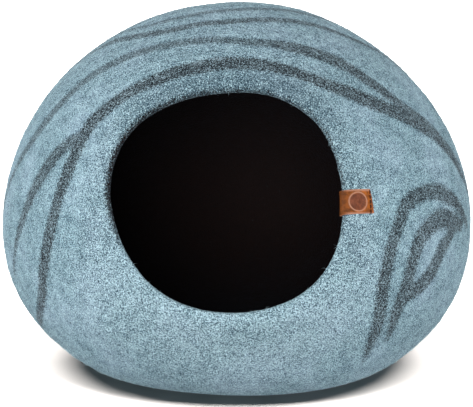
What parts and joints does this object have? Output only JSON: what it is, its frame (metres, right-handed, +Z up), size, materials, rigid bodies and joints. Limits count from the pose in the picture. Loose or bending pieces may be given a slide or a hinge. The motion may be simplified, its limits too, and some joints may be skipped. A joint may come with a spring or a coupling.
{
  "type": "felt cat cave",
  "caption": "Rounded hollow wool felt cat cave with a flat floor, a round front entrance and a leather tab folded over the entrance rim.",
  "frame": {"origin": "on the floor, at the middle of the flat underside, below the cave's upright axis", "axes": "+Z up, -Y towards the front with the entrance, +X to the right of someone facing the entrance"},
  "size_m": [0.4, 0.3912, 0.3081],
  "materials": {
    "wool_felt": "matte wool felt, grey blue with slate lines",
    "tan_leather": "smooth tan leather"
  },
  "bodies": {
    "root": {"felt_shell": "wool_felt", "leather_tab": "tan_leather"}
  },
  "joints": []
}
